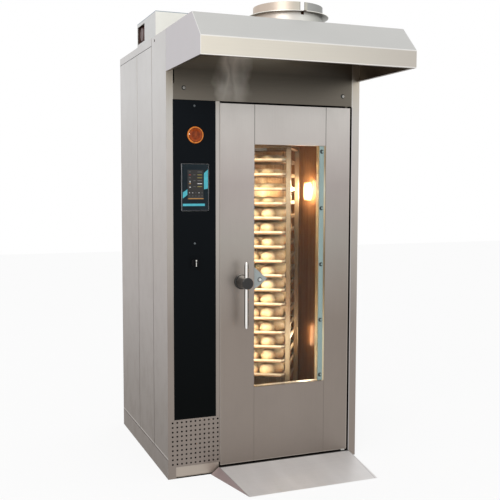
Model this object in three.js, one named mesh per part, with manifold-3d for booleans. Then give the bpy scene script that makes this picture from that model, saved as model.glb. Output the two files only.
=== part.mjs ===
// Rotating rack oven with control column, hood and rolling rack.
// Millimetres. Modelled from the cabinet's left front floor corner: +X right, +Y to the rear,
// +Z up; the last step moves the origin to the middle of the cabinet's footprint on the floor.
import * as THREE from 'three';
import * as BufferGeometryUtils from 'three/addons/utils/BufferGeometryUtils.js';
import Module from 'manifold-3d';

const wasm = await Module();
wasm.setup();

// ---------------------------------------------------------------- driving dimensions
const W = 1110, D = 1067, H = 2330;      // cabinet
const T = 2, G = 0.4;                    // sheet thickness, assembly gap
const COL = 287.5;                       // control column width
const PLINTH = 100;                      // height of the base pan's upstand
const SEAM_A = 282.3, SEAM_B = 617;      // joints in the left side
const JOINT = 5, REVEAL = 3;             // width of those joints, and of the gaps over and under them
const DOOR = { x0: 289.6, x1: 1052.5, z0: 43, z1: 1972, back: 55 };
const WIN = { x0: 484, x1: 905, z0: 453, z1: 1763, jamb: 871 };
const HINGE = { x: 1034, y: 14 };        // door axis
const HUB = { x: 408, z: 1033 };         // door handle axis
const AXIS = { x: 680, y: 455 };         // rack and turntable axis
const REST = 30;                         // rest angle of the rack, clockwise from above
const TABLE = 34.5;                      // top of the turntable
const POST = 1061.5;                     // left edge of the post right of the door
const CH = { x0: 304, x1: 1048, y0: 64.4, y1: 832, z1: 1962, back: 1020, top: 2200 };
const RACK = { in: 203, out: 228, d0: 237, d1: 262, z0: 150, z1: 1780 };
const TRAY = { w: 400, d: 600, h: 18, z0: 226.2, pitch: 80.6, levels: 19, first: 3 };
const HOOD = { top: 441, front: 566, z0: 2120, z1: 2205 };
const FLUE = { x: 576, y: -212, r: 175, flange: 205, z1: 2384, top: 2430, slot: 22, steps: 28 };
const BOX = { x1: 812, y0: 205, y1: 612, z0: 2330.4, z1: 2461 };
const FAN = { x: 680, y: 700, r: 160 };
const MOT = { x: 231, y: 545 };          // gearmotor output axis
const CHAIN_Z = 2343;
const VENT = { x0: 25, z0: 78, cols: 11, rows: 10, dx: 25, dz: 24.8, r: 5.5 };

// ---------------------------------------------------------------- helpers
const group = new THREE.Group();
const rad = (deg) => (deg * Math.PI) / 180;

function bare(geo) {
  const g = geo.index ? geo.toNonIndexed() : geo.clone();
  for (const k of Object.keys(g.attributes)) if (k !== 'position') g.deleteAttribute(k);
  return g;
}
function solid(geo) {
  const g = BufferGeometryUtils.mergeVertices(bare(geo), 1e-4);
  return new wasm.Manifold(new wasm.Mesh({
    numProp: 3,
    vertProperties: new Float32Array(g.attributes.position.array),
    triVerts: new Uint32Array(g.index.array),
  }));
}
function geometry(man) {
  const m = man.getMesh();
  const g = new THREE.BufferGeometry();
  const p = new Float32Array(m.numVert * 3);
  for (let i = 0; i < m.numVert; i++) {
    for (let k = 0; k < 3; k++) p[3 * i + k] = m.vertProperties[m.numProp * i + k];
  }
  g.setAttribute('position', new THREE.BufferAttribute(p, 3));
  g.setIndex(new THREE.BufferAttribute(new Uint32Array(m.triVerts), 1));
  return bare(g);
}
const fuse = (...gs) => geometry(gs.map(solid).reduce((a, b) => a.add(b)));
const cut = (base, ...gs) => geometry(gs.map(solid).reduce((a, b) => a.subtract(b), solid(base)));
const both = (a, b) => geometry(solid(a).intersect(solid(b)));
const together = (...gs) => BufferGeometryUtils.mergeGeometries(gs.map(bare));

function box(x0, x1, y0, y1, z0, z1) {
  return bare(new THREE.BoxGeometry(x1 - x0, y1 - y0, z1 - z0))
    .translate((x0 + x1) / 2, (y0 + y1) / 2, (z0 + z1) / 2);
}
function shape(pts, holes = []) {
  const s = new THREE.Shape(pts.map((p) => new THREE.Vector2(...p)));
  for (const h of holes) s.holes.push(new THREE.Path(h.map((p) => new THREE.Vector2(...p))));
  return s;
}
function extrude(pts, depth, holes) {
  return bare(new THREE.ExtrudeGeometry(shape(pts, holes),
    { depth, bevelEnabled: false, steps: 1, curveSegments: 1 }));
}
// outline given as [x, y], swept from z0 to z1
const prismZ = (pts, z0, z1, holes) => extrude(pts, z1 - z0, holes).translate(0, 0, z0);
// outline given as [x, z], swept from y0 to y1
const prismY = (pts, y0, y1, holes) =>
  extrude(pts, y1 - y0, holes).rotateX(Math.PI / 2).translate(0, y1, 0);
// outline given as [y, z], swept from x0 to x1
function prismX(pts, x0, x1, holes) {
  const m = new THREE.Matrix4().makeBasis(
    new THREE.Vector3(0, 1, 0), new THREE.Vector3(0, 0, 1), new THREE.Vector3(1, 0, 0));
  return extrude(pts, x1 - x0, holes).applyMatrix4(m).translate(x0, 0, 0);
}
function ring(cx, cy, r, n, turn = 0) {
  const pts = [];
  for (let i = 0; i < n; i++) {
    const a = turn + (2 * Math.PI * i) / n;
    pts.push([cx + r * Math.cos(a), cy + r * Math.sin(a)]);
  }
  return pts;
}
const rect = (x0, x1, y0, y1) => [[x0, y0], [x1, y0], [x1, y1], [x0, y1]];
const cylZ = (x, y, r, z0, z1, n = 24) => prismZ(ring(x, y, r, n), z0, z1);
const cylY = (x, z, r, y0, y1, n = 24) => prismY(ring(x, z, r, n), y0, y1);
const cylX = (y, z, r, x0, x1, n = 24) => prismX(ring(y, z, r, n), x0, x1);
// closed profile [radius, height] turned about Z
function lathe(profile, n) {
  const pts = profile.map((p) => new THREE.Vector2(...p));
  const first = pts[0], last = pts[pts.length - 1];
  if (!(first.x === 0 && last.x === 0)) pts.push(first.clone());
  const g = bare(new THREE.LatheGeometry(pts, n)).rotateX(Math.PI / 2);
  return geometry(outward(g));
}
function outward(g) {
  const man = solid(g);
  if (man.volume() > 0) return man;
  const p = g.attributes.position.array.slice();
  for (let i = 0; i < p.length; i += 9) {
    for (let k = 0; k < 3; k++) [p[i + 3 + k], p[i + 6 + k]] = [p[i + 6 + k], p[i + 3 + k]];
  }
  const f = new THREE.BufferGeometry();
  f.setAttribute('position', new THREE.BufferAttribute(p, 3));
  return solid(f);
}
// profile [radius, y] turned about an axis along Y through (x, z)
const latheY = (x, z, profile, n) =>
  lathe(profile.map(([r, y]) => [r, -y]), n).rotateX(Math.PI / 2).translate(x, 0, z);
const latheZ = (x, y, profile, n) => lathe(profile, n).translate(x, y, 0);
// profile [radius, x] turned about an axis along X through (y, z)
const latheX = (y, z, profile, n) => lathe(profile, n).rotateY(Math.PI / 2).translate(0, y, z);
// convex or open polyhedron from corner points and faces listed counter-clockwise from outside
function poly(points, faces) {
  const p = [];
  for (const f of faces) {
    for (let i = 1; i < f.length - 1; i++) for (const k of [f[0], f[i], f[i + 1]]) p.push(...points[k]);
  }
  const g = new THREE.BufferGeometry();
  g.setAttribute('position', new THREE.BufferAttribute(new Float32Array(p), 3));
  return geometry(outward(g));
}
const steel = { roughness: 0.38, metalness: 0.85 };
const painted = { roughness: 0.5, metalness: 0.2 };
const plastic = { roughness: 0.45, metalness: 0 };
function add(name, geo, color, finish = steel) {
  const g = bare(geo).translate(-W / 2, -D / 2, 0);
  g.computeVertexNormals();
  const mesh = new THREE.Mesh(g, new THREE.MeshStandardMaterial({ color, name, ...finish }));
  mesh.name = name;
  group.add(mesh);
}
// rack coordinates (across, deep, up) to the oven
const turned = (geo) => bare(geo).rotateZ(rad(-REST)).translate(AXIS.x, AXIS.y, 0);
function onRack(a, b) {
  const c = Math.cos(rad(REST)), s = Math.sin(rad(REST));
  return [AXIS.x + a * c + b * s, AXIS.y - a * s + b * c];
}

// ---------------------------------------------------------------- cabinet shell
add('base_pan', fuse(
  box(0, W, 2.4, D, 0, 4),
  box(0, T, 2.4, D, 1, PLINTH), box(W - T, W, 2.4, D, 1, PLINTH), box(0, W, D - T, D, 1, PLINTH),
  box(44, 284, 8, 10, 1, 60),
  box(288.4, 1061, 3, 5, 1, 29.6),
  latheZ(AXIS.x, AXIS.y, [[0, 2], [60, 2], [60, 8], [14.9, 8], [14.9, 24], [0, 24]], 16),
), 0xb4b0a8);

const flange = 15, rearSeam = SEAM_A + JOINT, railZ = 2290;
add('side_left_front', cut(
  prismZ([[0, 2.4], [T, 2.4], [T, SEAM_A - T], [flange, SEAM_A - T], [flange, SEAM_A],
    [0, SEAM_A]], PLINTH + REVEAL, H - G),
  cylX(222, 2307.7, 8, -5, 10, 12),
  box(T, flange + 1, SEAM_A - T - 1, SEAM_A + 1, H - T - G, H)), 0xc6c1be);
add('side_left_rear', cut(
  prismZ([[0, rearSeam], [flange, rearSeam], [flange, rearSeam + T], [T, rearSeam + T],
    [T, D - 2 * T - G], [flange, D - 2 * T - G], [flange, D - T - G], [0, D - T - G]],
  PLINTH + REVEAL, railZ - REVEAL),
  box(-1, 1.4, SEAM_B, SEAM_B + JOINT, PLINTH, railZ)), 0xc6c1be);
add('side_right', fuse(
  prismZ([[POST, 0], [W, 0], [W, D - T - G], [W - flange, D - T - G], [W - flange, D - 2 * T - G],
    [W - T, D - 2 * T - G], [W - T, T], [POST + T, T], [POST + T, 61.8], [POST, 61.8]],
  PLINTH + REVEAL, H - T - G),
  box(POST, W, 0, T, 0.3, PLINTH + REVEAL + 1),
  box(POST, POST + T, 1, 61.8, 34.4, PLINTH + REVEAL + 1),
), 0xbfb8b1);
add('rear_panel', fuse(
  box(0.2, W - 0.2, D - T, D, PLINTH + G, H - T - G),
  box(flange + 1, flange + 3, D - 20, D - 1, PLINTH + G, H - T - G),
  box(W - flange - 3, W - flange - 1, D - 20, D - 1, PLINTH + G, H - T - G),
), 0xbdb8b4);
add('roof_panel', fuse(
  prismZ([[2.4, 2.4], [W, 2.4], [W, D], [0, D], [0, rearSeam], [2.4, rearSeam]],
    H - T, H, [ring(AXIS.x, AXIS.y, 20, 12), ring(FAN.x, FAN.y, 14, 12)]),
  box(0, T, rearSeam, D - T - G, railZ, H - 1),
  latheZ(AXIS.x, AXIS.y, [[16, H - T], [48, H - T], [48, H + 5], [30, H + 6], [26, H + 12],
    [16, H + 12]], 12),
), 0xc9c4c1);

// front sheet of the control column: corner leg, cut-out for the glass, field of vent holes
const holes = [];
for (let c = 0; c < VENT.cols; c++) {
  for (let r = 0; r < VENT.rows; r++) {
    holes.push(ring(VENT.x0 + VENT.dx * c, VENT.z0 + VENT.dz * r, VENT.r, 6, rad(30)));
  }
}
const glass = { x0: 34, x1: 265.2, z0: 316 };
add('column_front', fuse(
  prismY([[0, 0.3], [42.6, 0.3], [42.6, 62], [COL, 62], [COL, 1981], [glass.x1, 1981],
    [glass.x1, glass.z0], [glass.x0, glass.z0], [glass.x0, 1981], [36.5, 1981], [36.5, H - T - G],
    [0, H - T - G]], 0, T, holes),
  box(COL - T, COL, 1, 61.8, 62, 1981),
), 0xbfb8b1);
// hinge pin from z0 to z1, with a shoulder from d0 to d1
const pin = (z0, z1, d0, d1) => fuse(cylZ(HINGE.x, HINGE.y, 6.3, z0, z1, 12),
  cylZ(HINGE.x, HINGE.y, 11, d0, d1, 12));
add('header_panel', fuse(
  prismY([[37, 1982], [POST - 0.5, 1982], [POST - 0.5, H - T - G], [43, H - T - G], [43, 2064],
    [37, 2064]], 0, T),
  box(COL, POST - 0.5, 1, 61.8, 1982, 1982 + T),
  pin(1951, 1983, 1979, 1982.5),
), 0x6b6460);

// ---------------------------------------------------------------- control panel
const BEACON = { x: 154, z: 1804 }, SW = { x: 148.5, z: 1143.5 };
add('control_glass', fuse(
  prismY(rect(glass.x0 + 0.5, glass.x1 - 0.4, glass.z0 + 0.5, 1980.6), -1, 4,
    [ring(BEACON.x, BEACON.z, 38, 20), rect(94, 209, 1430, 1640), ring(SW.x, SW.z, 7, 12)]),
  prismY([[124, 1114], [127, 1111], [170, 1111], [173, 1114], [173, 1173], [170, 1176], [127, 1176],
    [124, 1173]], -4.5, -0.5, [ring(SW.x, SW.z, 7, 12)]),
), 0x14171a, { roughness: 0.12, metalness: 0 });
add('signal_lamp', latheY(BEACON.x, BEACON.z,
  [[0, -12], [14, -11.4], [26, -9], [34, -5], [35, -8.8], [38, -10.5], [41, -9], [43.5, -5],
    [43.5, -1.4], [34.2, -1.4], [34.2, 16], [0, 16]], 20), 0xc78a4a, { roughness: 0.2, metalness: 0 });
add('touch_screen', fuse(
  cut(box(77.7, 225.6, -7, -1.4, 1413, 1657), box(83.5, 219.8, -8, -5.6, 1419, 1651)),
  box(95, 208, -2, 34, 1431, 1639)), 0x39434e, { roughness: 0.15, metalness: 0 });
add('switch_knob', fuse(
  latheY(SW.x, SW.z, [[0, -14], [18, -14], [20, -12], [20, -5], [6.3, -5], [6.3, 12], [0, 12]], 20),
  prismY([[SW.x - 5, SW.z - 19], [SW.x + 5, SW.z - 19], [SW.x + 5, SW.z + 15], [SW.x, SW.z + 20],
    [SW.x - 5, SW.z + 15]], -30, -10),
), 0x17181a, plastic);

// ---------------------------------------------------------------- hood and flue
const hoodSide = [[-0.6, H], [-HOOD.top, H], [-HOOD.front, HOOD.z1], [-HOOD.front, HOOD.z0],
  [-0.6, HOOD.z0]];
add('hood_canopy', cut(
  fuse(
    prismX([[-0.6, H], [-HOOD.top, H], [-HOOD.front, HOOD.z1], [-HOOD.front, HOOD.z0],
      [-HOOD.front + 18, HOOD.z0], [-HOOD.front + 18, HOOD.z0 + T], [-HOOD.front + T, HOOD.z0 + T],
      [-HOOD.front + T, HOOD.z1 - 0.8], [-HOOD.top + 0.8, H - T], [-0.6, H - T]], 0, W),
    prismX(hoodSide, 0, T), prismX(hoodSide, W - T, W),
    box(0, 18, -HOOD.front, -0.6, HOOD.z0, HOOD.z0 + T),
    box(W - 18, W, -HOOD.front, -0.6, HOOD.z0, HOOD.z0 + T),
  ),
  cylZ(FLUE.x, FLUE.y, FLUE.r - 5, H - 10, H + 10, 32)), 0xd5d2cf);
// the sleeve above the flange is open by a slot towards the front
const half = Math.asin(FLUE.slot / 2 / FLUE.r), sleeve = [];
for (const r of [FLUE.r, FLUE.r - T]) {
  const arc = [];
  for (let i = 0; i < FLUE.steps; i++) {
    const a = -Math.PI / 2 + half + ((2 * Math.PI - 2 * half) * i) / (FLUE.steps - 1);
    arc.push([FLUE.x + r * Math.cos(a), FLUE.y + r * Math.sin(a)]);
  }
  sleeve.push(...(r === FLUE.r ? arc : arc.reverse()));
}
add('exhaust_collar', fuse(
  latheZ(FLUE.x, FLUE.y, [[FLUE.r - T, H + G], [FLUE.r, H + G], [FLUE.r, FLUE.z1 - 3],
    [FLUE.flange, FLUE.z1 - 3], [FLUE.flange, FLUE.z1], [FLUE.r - T, FLUE.z1]], FLUE.steps),
  prismZ(sleeve, FLUE.z1 - 1, FLUE.top),
), 0xc2beb8);

// ---------------------------------------------------------------- rack drive on the roof
add('roof_box', cut(
  box(2.6, BOX.x1, BOX.y0, BOX.y1, BOX.z0, BOX.z1),
  box(2.6 + T, BOX.x1 - T, BOX.y0 + T, BOX.y1 - T, BOX.z0 - 5, BOX.z1 - T),
  box(-5, 10, 444, 606, 2345, 2441),
), 0xcfccc8);
add('gearmotor', fuse(
  latheX(MOT.y, 2395, [[0, 12], [36, 12], [45, 20], [45, 168], [0, 168]], 16),
  box(30, 150, 500, 592, 2336, 2360),
  box(160, 285, 495, 596, 2357, 2452),
  box(170, 285, 594, 602, BOX.z0 + G, 2360),
  box(20, 160, 590, 602, BOX.z0 + G, 2350),
), 0x3a1f1c, painted);
function sprocket(x, y, teeth, r, z0, z1) {
  const pts = [];
  for (let i = 0; i < 2 * teeth; i++) {
    const a = (Math.PI * (i + 0.5)) / teeth, q = i % 2 ? r : r - 6;
    pts.push([x + q * Math.cos(a), y + q * Math.sin(a)]);
  }
  return prismZ(pts, z0, z1);
}
add('motor_sprocket', fuse(sprocket(MOT.x, MOT.y, 12, 41, CHAIN_Z, CHAIN_Z + 7),
  cylZ(MOT.x, MOT.y, 14, CHAIN_Z, 2356.6, 12)), 0x8d8f90);
function belt(c1, r1, c2, r2, n) {
  const dx = c2.x - c1.x, dy = c2.y - c1.y, L = Math.hypot(dx, dy);
  const base = Math.atan2(dy, dx), open = Math.acos((r1 - r2) / L);
  const pts = [];
  for (let i = 0; i <= n; i++) {
    const a = base + open + ((2 * Math.PI - 2 * open) * i) / n;
    pts.push([c1.x + r1 * Math.cos(a), c1.y + r1 * Math.sin(a)]);
  }
  for (let i = 0; i <= n; i++) {
    const a = base - open + (2 * open * i) / n;
    pts.push([c2.x + r2 * Math.cos(a), c2.y + r2 * Math.sin(a)]);
  }
  return pts;
}
add('drive_chain', prismZ(belt(MOT, 46, AXIS, 119, 12), CHAIN_Z + 1, CHAIN_Z + 6,
  [belt(MOT, 42, AXIS, 115, 12)]), 0x6f6a63);
const yoke = turned(fuse(
  box(-60, 60, -30, 30, 1790, 1798),
  box(-60, 60, -18, -13.5, 1752, 1792), box(-60, 60, 13.5, 18, 1752, 1792)));
add('drive_shaft', fuse(cylZ(AXIS.x, AXIS.y, 15, 1794, 2354, 16), yoke,
  cylZ(AXIS.x, AXIS.y, 28, 1796, 1822, 16),
  sprocket(AXIS.x, AXIS.y, 33, 113, CHAIN_Z, CHAIN_Z + 7)), 0x8d8f90);

// ---------------------------------------------------------------- heating chamber
// walls, the flanges round the door opening, the floor with the turntable's hole and the lower
// hinge pin
add('chamber_liner', cut(
  fuse(
    box(CH.x0 - T, CH.x0, 62.4, CH.back + T, 33, CH.top),
    box(CH.x0 - T, CH.x1 + T, CH.back, CH.back + T, 33, CH.top),
    box(CH.x1, CH.x1 + T, 62.4, CH.back + T, 33, CH.top),
    box(CH.x0 - T, CH.x1 + T, 62.4, CH.back + T, CH.top - T, CH.top),
    box(CH.x0 - T, CH.x1 + T, 62.4, CH.y0, CH.z1 - 4, CH.top),
    box(COL + 0.9, CH.x0 + 4, 62.4, CH.y0, 33, 1981),
    box(1026, POST - 0.5, 62.4, CH.y0, 33, 1981),
    box(COL + 0.9, POST - 0.5, 62.4, CH.y0, CH.z1 - 4, 1981),
    prismZ(rect(COL + 1.5, POST - 1, 3, CH.back + 1), 30, 34, [ring(AXIS.x, AXIS.y, 361.5, 40)]),
    pin(33, 60, 33, 37.4),
  ),
  cylZ(AXIS.x, AXIS.y, 20, CH.top - 10, CH.top + 10, 12),
  cylZ(FAN.x, FAN.y, 14, CH.top - 10, CH.top + 10, 12),
), 0xb98f62);
// false ceiling with the fan's intake, and the slotted panel that the hot air comes through
const slots = [];
for (let r = 0; r < 6; r++) {
  for (const x of [370, 740]) {
    slots.push(box(x, x + 240, CH.y1 - 5, CH.y1 + 5, 280 + 265 * r, 304 + 265 * r));
  }
}
add('air_baffle', cut(
  fuse(
    box(CH.x0 + G, CH.x1 - G, CH.y0 + G, CH.y1 + 1, CH.z1, CH.z1 + T),
    box(CH.x0 + G, CH.x1 - G, CH.y1, CH.y1 + T, 34.4, CH.z1 + T - 0.5),
  ),
  cylZ(FAN.x, FAN.y, 112, CH.z1 - 10, CH.z1 + 10, 20),
  cylZ(AXIS.x, AXIS.y, 20, CH.z1 - 10, CH.z1 + 10, 12),
  together(...slots),
), 0xb98f62);
const loops = [box(340, 350, 880, 920, 380, 1640)];
for (let i = 0; i < 5; i++) {
  const z = 440 + 265 * i;
  const a = { x: 300, y: z }, b = { x: 960, y: z };
  loops.push(both(box(342, 1020, 880, 920, 300, 1800),
    prismY(belt(a, 36, b, 36, 6), 894, 906, [belt(a, 25, b, 25, 6)])));
}
add('heating_register', fuse(...loops), 0x5d4a42);
add('chamber_lamp', fuse(
  box(1040, CH.x1 - G, 470, 560, 1455, 1565),
  box(1037, 1041, 478, 552, 1463, 1557)), 0xfff1cf, { roughness: 0.2, metalness: 0 });
add('fan_motor', latheZ(FAN.x, FAN.y, [[0, H + G], [84, H + G], [84, H + 6], [72, H + 7],
  [72, H + 96], [60, H + 112], [0, H + 112]], 20), 0x5b6468, painted);
const blades = [latheZ(FAN.x, FAN.y, [[0, 2070], [26, 2070], [26, 2136], [FAN.r, 2137], [FAN.r, 2140],
  [0, 2140]], 20), cylZ(FAN.x, FAN.y, 10, 2139, H - 0.2, 12)];
for (let i = 0; i < 6; i++) {
  blades.push(box(92, FAN.r - 3, -1.5, 1.5, 2066, 2138).rotateZ(rad(60 * i + 12))
    .translate(FAN.x, FAN.y, 0));
}
blades.push(prismZ(ring(FAN.x, FAN.y, FAN.r, 20), 2064, 2067, [ring(FAN.x, FAN.y, 116, 20)]));
add('fan_impeller', fuse(...blades), 0x8f9496);

// ---------------------------------------------------------------- turntable and rack
const rails = [];
for (const s of [-1, 1]) {
  for (const a of [161, 197]) {
    const x0 = s > 0 ? a : -a - 2;
    rails.push(turned(box(x0, x0 + 2, -270, 270, TABLE - 1, TABLE + 12)));
  }
}
add('turntable', cut(
  fuse(cylZ(AXIS.x, AXIS.y, 358.5, TABLE - 4, TABLE, 40), cylZ(AXIS.x, AXIS.y, 70, 8.4, TABLE - 2, 20),
    ...rails),
  cylZ(AXIS.x, AXIS.y, 15.6, 0, 26, 16)), 0xa7a19a);

const TUBE = RACK.out - RACK.in, inside = RACK.in - G;
// one side of the rack: two posts, two rails and the angle runners; s is -1 left and 1 right
function rackSide(s, ...more) {
  const a0 = s > 0 ? RACK.in : -RACK.out, a1 = a0 + TUBE;
  const bars = [
    box(a0, a1, -RACK.d1, -RACK.d0, RACK.z0, RACK.z1), box(a0, a1, RACK.d0, RACK.d1, RACK.z0, RACK.z1),
    box(a0, a1, -RACK.d1, RACK.d1, RACK.z0, RACK.z0 + TUBE),
    box(a0, a1, -RACK.d1, RACK.d1, RACK.z1 - TUBE, RACK.z1), ...more];
  for (let k = 0; k < TRAY.levels; k++) {
    const z = TRAY.z0 + TRAY.pitch * k;
    const L = [[203.3 * s, z - 2.3], [203.3 * s, z + 13], [200.8 * s, z + 13], [200.8 * s, z - 0.3],
      [183 * s, z - 0.3], [183 * s, z - 2.3]];
    bars.push(prismY(s > 0 ? L : L.reverse(), -268, 268));
  }
  return turned(fuse(...bars));
}
const crossTubes = [-RACK.d1, -TUBE / 2, RACK.d0].map((b) =>
  box(-RACK.in - 1, inside, b, b + TUBE, RACK.z1 - TUBE, RACK.z1));
add('rack_side_left', rackSide(-1, ...crossTubes), 0xcfc9be);
add('rack_side_right', rackSide(1), 0xcfc9be);

const corner = 16;
const octagon = (w, d, c) => [[-w + c, -d], [w - c, -d], [w, -d + c], [w, d - c], [w - c, d],
  [-w + c, d], [-w, d - c], [-w, -d + c]];
const pan = cut(
  prismZ(octagon(TRAY.w / 2, TRAY.d / 2, corner), 0, TRAY.h),
  prismZ(octagon(TRAY.w / 2 - 2, TRAY.d / 2 - 2, corner - 1), 2, TRAY.h + 1));
for (let k = TRAY.first; k < TRAY.levels; k++) {
  add(`tray_${String(k - TRAY.first + 1).padStart(2, '0')}`,
    turned(pan.clone().translate(0, 0, TRAY.z0 + TRAY.pitch * k)), 0xe2dacb);
}

const WHEEL = { r: 50, z: TABLE + 50.4, half: 14 };
const chassis = [prismZ(rect(-inside, inside, -RACK.d1, RACK.d1), RACK.z0, RACK.z0 + TUBE,
  [rect(-150, 150, -185, 185)])];
[[-180, -215], [180, -215], [-180, 215], [180, 215]].forEach(([a, b], i) => {
  chassis.push(box(a - 21, a + 21, b - 35, b + 35, 144, 150.5),
    box(a - 16.8, a - 14.8, b - 14, b + 14, 74, 145), box(a + 14.8, a + 16.8, b - 14, b + 14, 74, 145),
    cylX(b, WHEEL.z, 5, a - 16, a + 16, 10));
  const tyre = latheX(0, 0, [[5.6, -WHEEL.half], [44, -WHEEL.half], [WHEEL.r, -10], [WHEEL.r, 10],
    [44, WHEEL.half], [5.6, WHEEL.half]], 14);
  add(`wheel_${i + 1}`, turned(tyre.translate(a, b, WHEEL.z)), 0x2c2c2d, plastic);
});
add('rack_base', turned(fuse(...chassis)), 0xcfc9be);

// ---------------------------------------------------------------- ramp
const rampPts = [[281, -3, 36], [1064, -3, 36], [314, -370, 0], [1043, -370, 0], [234.6, -3, 0],
  [1092, -3, 0]];
const rampFaces = [[0, 2, 3, 1], [0, 4, 2], [1, 3, 5], [4, 5, 3, 2], [0, 1, 5, 4]];
add('ramp', cut(poly(rampPts, rampFaces), both(
  poly(rampPts, rampFaces).translate(0, 0, -3), box(0, W, -500, -6, -50, 100))), 0xc7c7c3);

// ---------------------------------------------------------------- door
add('door_stile_left', cut(
  fuse(
    box(DOOR.x0, WIN.x0 - 0.4, 0, T, DOOR.z0, DOOR.z1),
    box(DOOR.x0, DOOR.x0 + T, 1, 20, DOOR.z0, DOOR.z1)),
  cylY(HUB.x, HUB.z, 9.2, -5, 5, 12)), 0xbab4ae);
add('door_stile_right', box(WIN.x1 + 0.4, DOOR.x1, 0, T, DOOR.z0, DOOR.z1), 0xbab4ae);
add('door_rail_top', box(WIN.x0 + 0.2, WIN.x1 - 0.2, 0, T, WIN.z1, DOOR.z1), 0xbab4ae);
add('door_rail_bottom', box(WIN.x0 + 0.2, WIN.x1 - 0.2, 0, T, DOOR.z0, WIN.z0), 0xbab4ae);
// core with the rebates of both panes, the window, the handle's bores and the hinge bores; the
// latch plate and its bolt stand in the window
add('door_core', fuse(cut(
  box(292, DOOR.x1 - 2.5, 2.4, DOOR.back, DOOR.z0 + 2.5, DOOR.z1 - 2.5),
  box(468, 921, 0, 15, 436, 1780),
  box(480, WIN.jamb, 0, 60, WIN.z0, WIN.z1),
  box(468, 883, 48, 60, 441, 1775),
  cylY(HUB.x, HUB.z, 9.2, 0, 60, 12),
  cylY(HUB.x, HUB.z, 32, 38, 60, 16),
  cylZ(HINGE.x, HINGE.y, 7, 30, 64, 12),
  cylZ(HINGE.x, HINGE.y, 7, 1948, 1990, 12)),
prismY([[478, 983], [492, 983], [567, 1042], [492, 1105], [478, 1105]], 20, 23),
latheY(524, 1037, [[0, 14], [9, 14], [9, 21], [0, 21]], 6),
), 0xcfc4b2);
const clearGlass = { roughness: 0.05, metalness: 0, transparent: true, opacity: 0.25 };
add('glass_outer', box(469, 920, 3, 8, 437, 1779), 0xbfd4d6, clearGlass);
add('glass_inner', box(469, 882, 48.5, 53.5, 442, 1774), 0xbfd4d6, clearGlass);
add('clamp_strip', box(872, 899, 9, 14.7, 455, 1761), 0x6f9aa0);
add('door_gasket', cut(box(296, 1038, 55.4, 61.9, 49, 1964), box(308, 1026, 50, 70, 61, 1952)),
  0x1a1a1b, { roughness: 0.8, metalness: 0 });
add('handle_lever', fuse(
  latheY(HUB.x, HUB.z, [[0, -102], [12, -102], [29, -104], [31, -101], [31, -92], [29.5, -88], [30, -60],
    [35, -14], [40, -11], [40, -0.5], [8.5, -0.5], [8.5, 52], [0, 52]], 20),
  latheZ(HUB.x, -80, [[0, 790], [5, 790], [10, 803], [10, 1138], [7, 1143], [0, 1146]], 12),
  prismY([[HUB.x - 13, HUB.z - 13], [HUB.x + 13, HUB.z - 13], [HUB.x + 13, HUB.z + 24],
    [HUB.x - 13, HUB.z + 24]], 41, 51),
), 0x9c9ea0);

export default group;
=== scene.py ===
import math
import random

import bmesh
import bpy
from mathutils import Matrix, Vector


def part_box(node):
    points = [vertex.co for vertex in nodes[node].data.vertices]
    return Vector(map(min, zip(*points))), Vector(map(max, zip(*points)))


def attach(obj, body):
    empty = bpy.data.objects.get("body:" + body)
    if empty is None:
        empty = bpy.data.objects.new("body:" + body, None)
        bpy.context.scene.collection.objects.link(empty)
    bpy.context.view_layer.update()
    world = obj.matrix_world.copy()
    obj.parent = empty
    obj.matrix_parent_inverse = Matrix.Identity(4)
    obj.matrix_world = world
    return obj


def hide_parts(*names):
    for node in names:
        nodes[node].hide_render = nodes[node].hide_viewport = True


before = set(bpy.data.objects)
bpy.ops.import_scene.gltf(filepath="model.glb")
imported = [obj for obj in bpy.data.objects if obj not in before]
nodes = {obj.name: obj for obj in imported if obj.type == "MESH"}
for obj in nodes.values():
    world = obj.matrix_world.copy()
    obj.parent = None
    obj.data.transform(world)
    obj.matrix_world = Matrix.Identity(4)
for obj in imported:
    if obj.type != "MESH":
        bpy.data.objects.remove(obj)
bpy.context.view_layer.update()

# ------------------------------ sizes, in millimetres
MM = 0.001
W, D, H = 1110, 1067, 2330  # cabinet
SKIN = 1.9  # just less than the sheet's thickness
PLINTH = {"y": 8, "top": 60.5, "fold": 109}
VENTS = {"x0": 20, "x1": 290, "z0": 66, "z1": 312, "deep": 4}
BEACON = {"x": 154, "z": 1804, "r": 44}
SCREEN = {"x0": 77.7, "x1": 225.6, "z0": 1413, "z1": 1657}
SWITCH = {"x": 148.5, "z": 1143.5}
HEADER = {"z0": 1980, "reflection_z0": 1985, "reflection_z1": 2200}
HOOD = {"fold": 2204.5, "hem_highlight": 2124.8}
FLUE = {"x": 576, "y": -212, "r": 175, "flange": 205, "z": 2384, "top": 2430, "slot": 12.2, "rivet": 2378}
ROOF_BOX = {"y0": 205.5, "y1": 611.5, "edge": 2456.8, "top": 2459.5}
POST = {"x0": 1061, "gap_shade_to": 1064.3, "edge": 1066.6, "top": 1977}  # right of the door
DOOR = {"middle": 671, "rim": 378.8, "foot": 46.8, "joints": 694.5, "joint": 210.7, "even": 484}
WINDOW = {"jamb": 860, "x1": 922, "z": 1107, "half": 660, "sill": 460, "lintel": 1600}
STRIP = {"x0": 872, "x1": 899, "screw_z": 486, "screw_pitch": 311.5, "screws": 5}
LATCH = {"x0": 481, "x1": 580, "y": 18.5, "z": 1044, "half": 62}
BOLT = {"x": 524, "y": 19.9, "z": 1037, "seat": 13.5}
HUB = {"x": 408, "z": 1033, "y": -80, "bar": 11.6}
CHAMBER = {"y0": 62.7, "panel": 110, "seam": 3.5}
TREAD = {"x": 672, "y0": -3, "y1": -370, "half0": 391, "half1": 358, "back": 34.8}
AXIS_X, AXIS_Y, REST = 680, 455, 30  # rack's axis, and its turn at rest in degrees
TRAY = {"z0": 468, "pitch": 80.6, "count": 16}
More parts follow.
